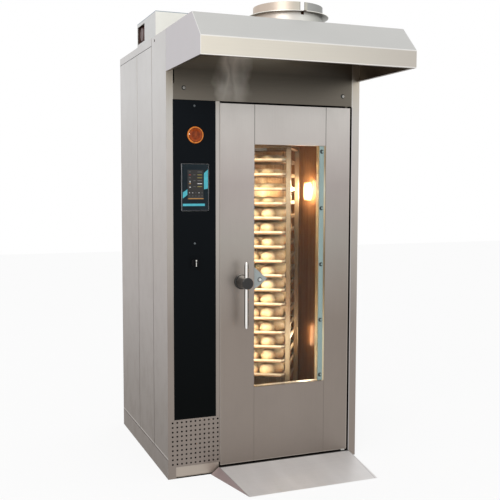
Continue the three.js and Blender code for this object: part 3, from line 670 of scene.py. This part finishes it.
def lamp_glass():
    """The chamber lamp's cover: hottest at its middle, amber towards its ends."""
    s = Shader("lamp_glass", Roughness=0.3)
    low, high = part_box("chamber_lamp")
    away = s.off(s.axes()[2], (low[2] + high[2]) / 2)
    mottle = s.noise((60, 60, 60))
    reach = s.plus(s.span(away, 0.0, (high[2] - low[2]) / 2), s.spread(mottle, -0.08, 0.08))
    tint = s.ramp(reach, [(0.0, (1.0, 0.90, 0.70)), (0.55, (1.0, 0.80, 0.48)), (1.0, (0.78, 0.44, 0.17))])
    s.put("Base Color", tint).put("Emission Color", tint)
    return s.put("Emission Strength", s.span(reach, 0.35, 0.95, 12.0, 0.9))


def lamp_lens():
    """Amber moulding in rings, with one small catch of light."""
    s = Shader("amber_lens", Roughness=0.12, IOR=1.5, Specular_IOR_Level=0.15)
    x, _, z = s.axes()
    dx, dz = s.plus(x, -fx(BEACON["x"])), s.plus(z, -BEACON["z"] * MM)
    base = s.ramp(s.span(s.radius(dx, dz), 0.0, BEACON["r"] * MM), [
        (0.0, (0.22, 0.045, 0.010)), (0.45, (0.15, 0.026, 0.006)), (0.72, (0.30, 0.055, 0.010)),
        (0.80, (0.10, 0.020, 0.005)), (0.88, (0.60, 0.19, 0.035)), (1.0, (0.42, 0.12, 0.022))])
    base = s.scaled(base, s.spread(s.noise((40, 40, 40), scale=2.0), 0.7, 1.3))
    spot = s.under(s.radius(s.plus(dx, 34 * MM), s.plus(dz, -4 * MM)), 3.464 * MM)
    base = s.mix(spot, base, (1.0, 0.80, 0.62))
    return s.put("Base Color", base).put("Emission Color", base).put("Emission Strength", 0.35)


def crust(name, tones):
    s = Shader(name, Roughness=0.5, Subsurface_Weight=0.08, Subsurface_Scale=0.01)
    mottle = s.noise((45, 45, 45), 4.0)
    place = s.noise((5, 5, 7), 2.0)
    # painted light and shade: faces turned up come out paler, lower sides darker
    tint = s.plus(s.times(s.normal()[2], 0.35), s.times(mottle, 0.35))
    s.put("Base Color", s.ramp(s.plus(tint, s.times(place, 0.35)), tones))
    return s.bump(mottle, 0.25, 0.002)


# ------------------------------ mesh helpers
def link(name, mesh, material, body, bevel=0.0, smooth=35.0):
    """Puts a mesh in the scene on a body; edges sharper than smooth degrees stay sharp."""
    mesh.materials.append(material)
    obj = bpy.data.objects.new(name, mesh)
    bpy.context.scene.collection.objects.link(obj)
    mesh.polygons.foreach_set("use_smooth", [True] * len(mesh.polygons))
    mesh.set_sharp_from_angle(angle=math.radians(smooth))
    if bevel:
        edge = obj.modifiers.new("edge", "BEVEL")
        edge.width = bevel * MM
        edge.segments = 3
        edge.limit_method = "ANGLE"
        edge.harden_normals = True
    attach(obj, body)
    return obj


def mesh_from(name, verts, faces):
    mesh = bpy.data.meshes.new(name)
    mesh.from_pydata([tuple(v) for v in verts], [], faces)
    mesh.validate()
    return mesh


def outward(mesh):
    """Joins points that meet and turns the faces outwards."""
    bm = bmesh.new()
    bm.from_mesh(mesh)
    bmesh.ops.remove_doubles(bm, verts=bm.verts, dist=1e-7)
    bmesh.ops.recalc_face_normals(bm, faces=bm.faces)
    bm.to_mesh(mesh)
    bm.free()
    return mesh


def revolve(name, profile, place, steps=64):
    """Profile of (radius, along) points turned about an axis; place maps (u, v, along) to the frame."""
    verts, faces, rows = [], [], []
    for radius, along in profile:
        if radius == 0:
            rows.append([len(verts)] * steps)
            verts.append(place(0, 0, along))
            continue
        rows.append(list(range(len(verts), len(verts) + steps)))
        for i in range(steps):
            a = 2 * math.pi * i / steps
            verts.append(place(radius * math.cos(a), radius * math.sin(a), along))
    closed = profile[0][0] > 0
    pairs = list(zip(rows, rows[1:])) + ([(rows[-1], rows[0])] if closed else [])
    for low, high in pairs:
        for i in range(steps):
            j = (i + 1) % steps
            face = []
            for v in (low[i], low[j], high[j], high[i]):
                if v not in face:
                    face.append(v)
            if len(face) > 2:
                faces.append(face)
    return outward(mesh_from(name, verts, faces))


def slab(name, outline, place, low, high):
    """Outline of (u, v) points given thickness from low to high; place maps (u, v, along)."""
    n = len(outline)
    verts = [place(u, v, low) for u, v in outline] + [place(u, v, high) for u, v in outline]
    faces = [list(range(n)), list(range(n, 2 * n))]
    for i in range(n):
        j = (i + 1) % n
        faces.append([i, j, n + j, n + i])
    return outward(mesh_from(name, verts, faces))


def facing_front(x, z):
    """Plane coordinates about a point of the front: right, up, and distance from the front."""
    return lambda u, v, along: at(x + u, along, z + v)


def standing(x, y):
    """Plane coordinates about an upright axis: right, back, and height."""
    return lambda u, v, along: at(x + u, y + v, along)


def on_front(u, v, along):
    """Plane coordinates of the whole front, from the cabinet's left front floor corner."""
    return at(u, along, v)


def rounded(u0, u1, v0, v1, r, steps=6):
    """Outline of a rectangle with round corners."""
    points = []
    for cu, cv, start in ((u1 - r, v0 + r, -90), (u1 - r, v1 - r, 0),
                          (u0 + r, v1 - r, 90), (u0 + r, v0 + r, 180)):
        for i in range(steps + 1):
            a = math.radians(start + 90 * i / steps)
            points.append((cu + r * math.cos(a), cv + r * math.sin(a)))
    return points


def merged(name, meshes):
    bm = bmesh.new()
    for mesh in meshes:
        bm.from_mesh(mesh)
        bpy.data.meshes.remove(mesh)
    out = bpy.data.meshes.new(name)
    bm.to_mesh(out)
    bm.free()
    return out


# ------------------------------ CAD nodes
def dress_nodes(m):
    """Gives each CAD node the material that it wears; some nodes get a finer form below."""
    wear = {
        "side": ["base_pan", "side_left_front", "side_left_rear", "side_right", "rear_panel", "roof_panel",
                 "column_front"],
        "header": ["header_panel"],
        "panel": ["control_glass"],
        "hood": ["hood_canopy"],
        "collar": ["exhaust_collar"],
        "paint": ["roof_box"],
        "motor": ["gearmotor"],
        "machined": ["motor_sprocket", "drive_shaft", "fan_impeller"],
        "chain": ["drive_chain"],
        "chamber": ["chamber_liner", "air_baffle", "turntable"],
        "core": ["door_core"],
        "heater": ["heating_register"],
        "lamp": ["chamber_lamp"],
        "grey": ["fan_motor"],
        "rack": ["rack_side_left", "rack_side_right", "rack_base"],
        "ramp": ["ramp"],
        "door": ["door_stile_left", "door_stile_right", "door_rail_top", "door_rail_bottom"],
        "glass": ["glass_outer", "glass_inner"],
        "strip": ["clamp_strip"],
        "rubber": ["door_gasket"],
        "plastic": ["switch_knob"],
        "tray": [f"tray_{i + 1:02d}" for i in range(TRAY["count"])],
        "tyre": [f"wheel_{i + 1}" for i in range(4)],
        "lens": ["signal_lamp"],
        "hub": ["handle_lever"],
        "bezel": ["touch_screen"],
    }
    for key, names in wear.items():
        for name in names:
            mesh = nodes[name].data
            mesh.materials.clear()
            mesh.materials.append(m[key])


# ------------------------------ control panel
def make_beacon(m):
    """The signal lamp's lens as a turned form with a groove and a bead."""
    profile = [(0, -11.6), (10, -11.5), (20, -10.6), (29, -8.4), (34, -5.6), (35.2, -6.2),
               (36.6, -8.2), (39, -9.4), (41.4, -8.4), (43, -5.6), (43.5, -1.4), (0, -1.4)]
    lens = revolve("beacon_lens", profile, facing_front(BEACON["x"], BEACON["z"]), 72)
    obj = link("beacon_lens", lens, m["lens"], "cabinet", smooth=60)
    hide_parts("signal_lamp")


def make_screen(m):
    """A thin bezel of four bars about a dark pane, with the picture on it."""
    x0, x1, z0, z1 = SCREEN["x0"], SCREEN["x1"], SCREEN["z0"], SCREEN["z1"]
    rim, corner, back = 3.2, 2.4, -1.4
    bars = [(x0, x0 + rim, z0, z1, -7), (x1 - rim, x1, z0, z1, -7),
            (x0 + 1, x1 - 1, z1 - rim, z1, -6.8), (x0 + 1, x1 - 1, z0, z0 + rim, -6.8)]
    slabs = [slab("bar", rounded(*sides, corner), on_front, face, back) for *sides, face in bars]
    obj = link("screen_frame", merged("screen_frame", slabs), m["bezel"], "cabinet", 0.8)
    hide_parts("touch_screen")
    pane = slab("screen_pane", rounded(x0 + 3, x1 - 3, z0 + 3, z1 - 3, 2), on_front, -5.2, -1.5)
    display = Shader("display", Roughness=0.12, Specular_IOR_Level=0.1)
    deep = display.ramp(display.noise((12, 12, 12)), [(0.3, (0.005, 0.009, 0.012)),
                                                      (0.7, (0.009, 0.015, 0.019))])
    display.put("Base Color", deep).put("Emission Color", deep).put("Emission Strength", 0.6)
    link("screen_pane", pane, display.mat, "cabinet")
    draw_display(x0, z0, x1 - x0, z1 - z0)


def draw_display(x0, z0, width, height):
    """Plain coloured bars, discs and dashes that stand for a program page."""
    looks = {"night": (0.3, (0.011, 0.0095, 0.0085)), "cyan": (0.5, (0.045, 0.30, 0.36)),
             "pale": (0.6, (0.50, 0.50, 0.50)), "grey": (0.5, (0.09, 0.09, 0.09)),
             "amber": (0.5, (0.40, 0.20, 0.05)), "olive": (0.5, (0.20, 0.17, 0.04)),
             "red": (0.5, (0.30, 0.04, 0.03))}
    tint = {key: glow(f"display_{key}", color, strength).mat for key, (strength, color) in looks.items()}
    shapes = {key: [] for key in tint}
    drawn = 0.62  # share of its given radius at which a disc is drawn

    def on_screen(u, v, along):
        return at(x0 + u * width, along, z0 + v * height)

    def mark(color, points):
        face = -5.4 if color == "night" else -5.6
        shapes[color].append(slab("mark", points, on_screen, face, -5.1))

    def bar(color, u0, u1, v0, v1):
        mark(color, [(u0, v0), (u1, v0), (u1, v1), (u0, v1)])

    def disc(color, u, v, r):
        turns = [2 * math.pi * i / 16 for i in range(16)]
        mark(color, [(u + r * math.cos(a) / width * height * drawn, v + r * math.sin(a) * drawn)
                     for a in turns])

    bar("night", 0.22, 0.80, 0.245, 0.87)
    mark("cyan", [(0.82, 0.46), (0.965, 0.475), (0.965, 0.88), (0.82, 0.80)])
    mark("cyan", [(0.045, 0.265), (0.21, 0.34), (0.21, 0.46), (0.045, 0.39)])
    bar("cyan", 0.045, 0.85, 0.105, 0.155)
    bar("amber", 0.24, 0.80, 0.254, 0.268)
    for row, (left, right) in enumerate([("grey", "grey"), ("red", "olive"), ("grey", "olive"),
                                         ("grey", "grey"), ("amber", "pale"), ("grey", "olive")]):
        v = 0.820 - 0.062 * row
        bar(left, 0.27, 0.34, v, v + 0.011)
        bar(right, 0.58, 0.75, v, v + 0.012)
        if row % 2:
            bar("grey", 0.43, 0.51, v + 0.001, v + 0.010)
    disc("pale", 0.31, 0.615, 0.020)
    disc("pale", 0.31, 0.500, 0.018)
    for i in range(5):
        disc("pale" if i in (0, 1, 3) else "grey", 0.29 + 0.115 * i, 0.385, 0.013)
        bar("grey", 0.265 + 0.115 * i, 0.315 + 0.115 * i, 0.316, 0.323)
    bar("grey", 0.25, 0.75, 0.288, 0.292)
    for key, meshes in shapes.items():
        link(f"display_{key}", merged(f"display_{key}", meshes), tint[key], "cabinet")


def make_switch(m):
    """The white mark on the knob: a dot and a bar."""
    x, z, back = SWITCH["x"], SWITCH["z"], -29.4
    dot = revolve("switch_dot", [(0, -31.0), (3.4, -30.9), (4.2, -30.2), (4.2, back), (0, back)],
                  facing_front(x, z + 12), 24)
    bar = slab("switch_bar", rounded(-1.8, 1.8, -18, 5, 1.2), facing_front(x, z), -30.9, back)
    link("switch_pointer", merged("switch_pointer", [dot, bar]), m["white"], "switch", 0.3)


# ------------------------------ handle
def make_handle(m):
    """The lever's hub with its collar, and the upright bar with drawn-in ends."""
    knob = [(0, -104), (22, -103.6), (28.4, -102.4), (30.8, -100), (31, -93), (30, -89.5),
            (29.4, -86), (29.8, -62), (31.5, -40), (34, -24), (35, -14.5), (39.4, -12.6),
            (40, -10.5), (40, -1.2), (39, -0.6), (0, -0.6)]
    hub = revolve("handle_hub", knob, facing_front(HUB["x"], HUB["z"]), 72)
    obj = link("handle_hub", hub, m["hub"], "handle")
    rod = [(0, 790), (4.5, 790.6), (7, 793), (9.5, 800), (11.5, 815), (11.5, 1122),
           (9.5, 1136), (6.5, 1144.5), (0, 1146)]
    bar = revolve("handle_bar", rod, standing(HUB["x"], HUB["y"]), 40)
    link("handle_bar", bar, m["bright"], "handle")
    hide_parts("handle_lever")


# ------------------------------ flue collar
def make_collar(m):
    """The neck with its flange, and over it the sleeve with a slot at the front."""
    r, z, wall, slot, steps = FLUE["r"], FLUE["z"], 2, 11, 96
    place = standing(FLUE["x"], FLUE["y"])
    neck = revolve("collar", [(r - wall, H + 0.4), (r, H + 0.4), (r, z - 3), (FLUE["flange"], z - 3),
                              (FLUE["flange"], z), (r - wall, z)], place, steps)
    gap = math.asin(slot / r)
    ring = []
    for radius, order in ((r, 1), (r - wall, -1)):
        arc = []
        for i in range(steps + 1):
            a = -math.pi / 2 + gap + (2 * math.pi - 2 * gap) * i / steps
            arc.append((radius * math.cos(a), radius * math.sin(a)))
        ring += arc[::order]
    sleeve = slab("sleeve", ring, place, z - 1, FLUE["top"])
    both = merged("exhaust_sleeve", [neck, sleeve])
    obj = link("exhaust_sleeve", both, m["collar"], "cabinet", smooth=40)
    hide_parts("exhaust_collar")


# ------------------------------ goods on the trays
def make_bun(rng, radius, height):
    """One roll: a dome whose foot draws in, slightly uneven about its middle."""
    verts, faces, rings, steps = [], [], 7, 14
    foot, sink = -34, 0.56  # angle of the foot in degrees, and its depth below the widest ring
    phase = rng.uniform(0, 6)
    for k in range(rings):
        a = math.radians(foot + (90 - foot) * k / rings)
        r = radius * math.cos(a) ** 0.8
        z = height * (math.sin(a) + sink) / (1 + sink)
        for i in range(steps):
            b = 2 * math.pi * i / steps
            wave = 1 + 0.045 * math.sin(2 * b + phase) + 0.03 * math.sin(3 * b + 2 * phase)
            verts.append((r * wave * math.cos(b), r * wave * math.sin(b), max(z, 0)))
    verts.append((0, 0, height))
    for k in range(rings - 1):
        for i in range(steps):
            j = (i + 1) % steps
            faces.append([k * steps + i, k * steps + j, (k + 1) * steps + j, (k + 1) * steps + i])
    last = (rings - 1) * steps
    for i in range(steps):
        faces.append([last + i, last + (i + 1) % steps, rings * steps])
    faces.append(list(range(steps))[::-1])
    return verts, faces


def make_buns(m):
    """Rows of four and three rolls in turn on every tray; the upper trays hold flatter pastries."""
    rng = random.Random(7)
    stray = ROLLS["stray"]
    for level in range(TRAY["count"]):
        z = TRAY["z0"] + TRAY["pitch"] * level + 2.3
        flat = level > 11
        verts, faces = [], []
        for row in range(ROLLS["rows"]):
            first, count = (ROLLS["a4"], 4) if row % 2 else (ROLLS["a3"], 3)
            for col in range(count):
                a = first + ROLLS["pitch_a"] * col + rng.uniform(-stray, stray)
                b = ROLLS["b"] + ROLLS["pitch_b"] * row + rng.uniform(-stray, stray)
                radius = rng.uniform(41, 44) if flat else rng.uniform(42, 45)
                height = rng.uniform(36, 42) if flat else rng.uniform(55, 61)
                bun_verts, bun_faces = make_bun(rng, radius, height)
                base = len(verts)
                verts += [on_rack(a + p[0], b + p[1], z + p[2]) for p in bun_verts]
                faces += [[base + i for i in face] for face in bun_faces]
        mesh = outward(mesh_from(f"rolls_{level + 1:02d}", verts, faces))
        link(f"rolls_{level + 1:02d}", mesh, m["pastry" if flat else "bun"], "rack", smooth=80)


# ------------------------------ screws
def make_screws(m):
    """Round heads with a recess, each a small turned form on a face at y, and the hinge's foot."""
    def head(x, y, z, r, tall):
        profile = [(0, y - tall * 0.55), (r * 0.42, y - tall * 0.55), (r * 0.42, y - tall),
                   (r * 0.72, y - tall), (r * 0.94, y - tall * 0.7), (r, y - tall * 0.25), (r, y), (0, y)]
        return revolve("head", profile, facing_front(x, z), 20)

    def join(name, meshes, material, body):
        link(name, merged(name, meshes), m[material], body)

    join("panel_screws", [head(149.6, -1, z, 5.5, 3.4) for z in (1953, 1244)], "grey", "cabinet")
    spots = [(93.5, 2042), (1006, 2036)]
    # painted shade: a dark disc behind each header bolt, whose head sits off to its right, shows as a
    # shaded crescent
    seat = [(0, -0.6), (11, -0.6), (11.5, 0), (0, 0)]
    join("bolt_shade_discs", [revolve("seat", seat, facing_front(x, z), 24) for x, z in spots], "dark", "cabinet")
    join("header_bolts", [head(x + 1.5, -0.6, z, 7.5, 4.5) for x, z in spots], "screw", "cabinet")
    middle, face = (STRIP["x0"] + STRIP["x1"]) / 2, 8.7
    heights = [STRIP["screw_z"] + STRIP["screw_pitch"] * i for i in range(STRIP["screws"])]
    # painted shade: a dark disc behind each strip screw, whose head sits off to its right, shows as a
    # shaded crescent
    recess = [(0, face), (11.5, face), (11.5, face + 0.4), (0, face + 0.4)]
    join("strip_shade_discs", [revolve("recess", recess, facing_front(middle, z), 24) for z in heights],
         "dark", "door")
    join("strip_screws", [head(middle + 5, face, z, 6.0, 0.5) for z in heights], "strip", "door")
    foot = slab("hinge_foot", rounded(1020, 1043, 36.6, 42.4, 1.5), on_front, 0.4, 2.8)
    link("hinge_foot", foot, m["white"], "cabinet")


# ------------------------------ room and light
FLOOR_GLOW = 0.88  # how far the floor goes to plain white where it is seen or mirrored
SEEN_BY = ("Is Camera Ray", "Is Glossy Ray", "Is Transmission Ray")


def area(name, place, target, size, power, color, size_y=None):
    data = bpy.data.lights.new(name, "AREA")
    data.shape = "RECTANGLE"
    data.size = size
    data.size_y = size_y or size
    data.energy = power
    data.color = color
    lamp = bpy.data.objects.new(name, data)
    bpy.context.scene.collection.objects.link(lamp)
    lamp.location = place
    lamp.rotation_euler = (Vector(target) - Vector(place)).to_track_quat("-Z", "Y").to_euler()
    lamp.visible_camera = False


def make_world():
    """White behind the oven, and a little less of it as light on the oven."""
    world = bpy.data.worlds.new("studio")
    bpy.context.scene.world = world
    world.use_nodes = True
    tree = world.node_tree
    tree.nodes.clear()
    out = tree.nodes.new("ShaderNodeOutputWorld")
    back = tree.nodes.new("ShaderNodeBackground")
    path = tree.nodes.new("ShaderNodeLightPath")
    seen = path.outputs[SEEN_BY[0]]
    for kind in SEEN_BY[1:]:
        either = tree.nodes.new("ShaderNodeMath")
        either.operation = "MAXIMUM"
        tree.links.new(seen, either.inputs[0])
        tree.links.new(path.outputs[kind], either.inputs[1])
        seen = either.outputs[0]
    level = tree.nodes.new("ShaderNodeMapRange")
    level.inputs["To Min"].default_value = 0.72
    level.inputs["To Max"].default_value = 1.0
    tree.links.new(seen, level.inputs["Value"])
    tree.links.new(level.outputs[0], back.inputs["Strength"])
    tree.links.new(back.outputs[0], out.inputs["Surface"])
    back.inputs["Color"].default_value = (1, 1, 1, 1)


def make_floor():
    """A white floor that keeps the oven's shadow."""
    mesh = mesh_from("floor", [(-14, -14, 0), (14, -14, 0), (14, 14, 0), (-14, 14, 0)], [[0, 1, 2, 3]])
    floor = bpy.data.objects.new("floor", mesh)
    bpy.context.scene.collection.objects.link(floor)
    s = Shader("studio_floor", Roughness=0.9, Specular_IOR_Level=0.1)
    s.put("Base Color", s.ramp(s.noise((1, 1, 1), 2.0), [(0.3, (0.94, 0.94, 0.94)),
                                                         (0.7, (0.96, 0.96, 0.96))]))
    white = s.tree.nodes.new("ShaderNodeEmission")
    white.inputs["Strength"].default_value = 1.0
    path = s.tree.nodes.new("ShaderNodeLightPath")
    seen = s.either(*[path.outputs[kind] for kind in SEEN_BY])
    blend = s.tree.nodes.new("ShaderNodeMixShader")
    s.tree.links.new(s.times(seen, FLOOR_GLOW), blend.inputs[0])
    s.tree.links.new(s.bsdf.outputs[0], blend.inputs[1])
    s.tree.links.new(white.outputs[0], blend.inputs[2])
    out = next(node for node in s.tree.nodes if node.type == "OUTPUT_MATERIAL")
    s.tree.links.new(blend.outputs[0], out.inputs["Surface"])
    mesh.materials.append(s.mat)


def make_lights():
    """One large light in front of the oven, and small warm ones in the chamber and about the window."""
    deep, warm, pale = (1.0, 0.84, 0.60), (1.0, 0.86, 0.62), (1.0, 0.88, 0.70)
    area("key", (-3.2, -4.2, 4.6), (0, 0, 1.2), 3.0, 90, (1.0, 0.985, 0.96))
    area("chamber_upper", at(LAMP_X, 515, LAMP_Z), at(500, 300, LAMP_Z - 60), 0.09, 2.6, deep, 0.12)
    area("chamber_lower", at(LAMP_X, 515, 610), at(500, 300, 600), 0.09, 0.5, deep, 0.12)
    area("lamp_halo", at(1000, 470, LAMP_Z), at(1048, 520, LAMP_Z), 0.04, 0.9, warm, 0.1)
    area("jamb", at(345, 76, TALL_Z), at(640, 330, TALL_Z), 0.05, 2.2, pale, TALL)
    area("window_fill", at(560, 64, TALL_Z), at(610, 300, TALL_Z), 0.26, 1.8, (1.0, 0.89, 0.73), TALL)
    area("jamb_right", at(990, 76, TALL_Z), at(600, 300, TALL_Z), 0.05, 2.0, pale, TALL)
    area("rear_wash", at(335, 690, 1250), at(720, 832, 1250), 0.06, 9, (1.0, 0.82, 0.54), 1.2)
    area("wall_wash", at(380, 80, TALL_Z), at(1048, 560, TALL_Z), 0.05, 2.2, warm, TALL)


def main():
    make_camera()
    bpy.context.scene.view_settings.view_transform = "Standard"
    m = make_materials()
    dress_nodes(m)
    make_beacon(m)
    make_screen(m)
    make_switch(m)
    make_handle(m)
    make_collar(m)
    make_buns(m)
    make_screws(m)
    make_world()
    make_floor()
    make_lights()


main()
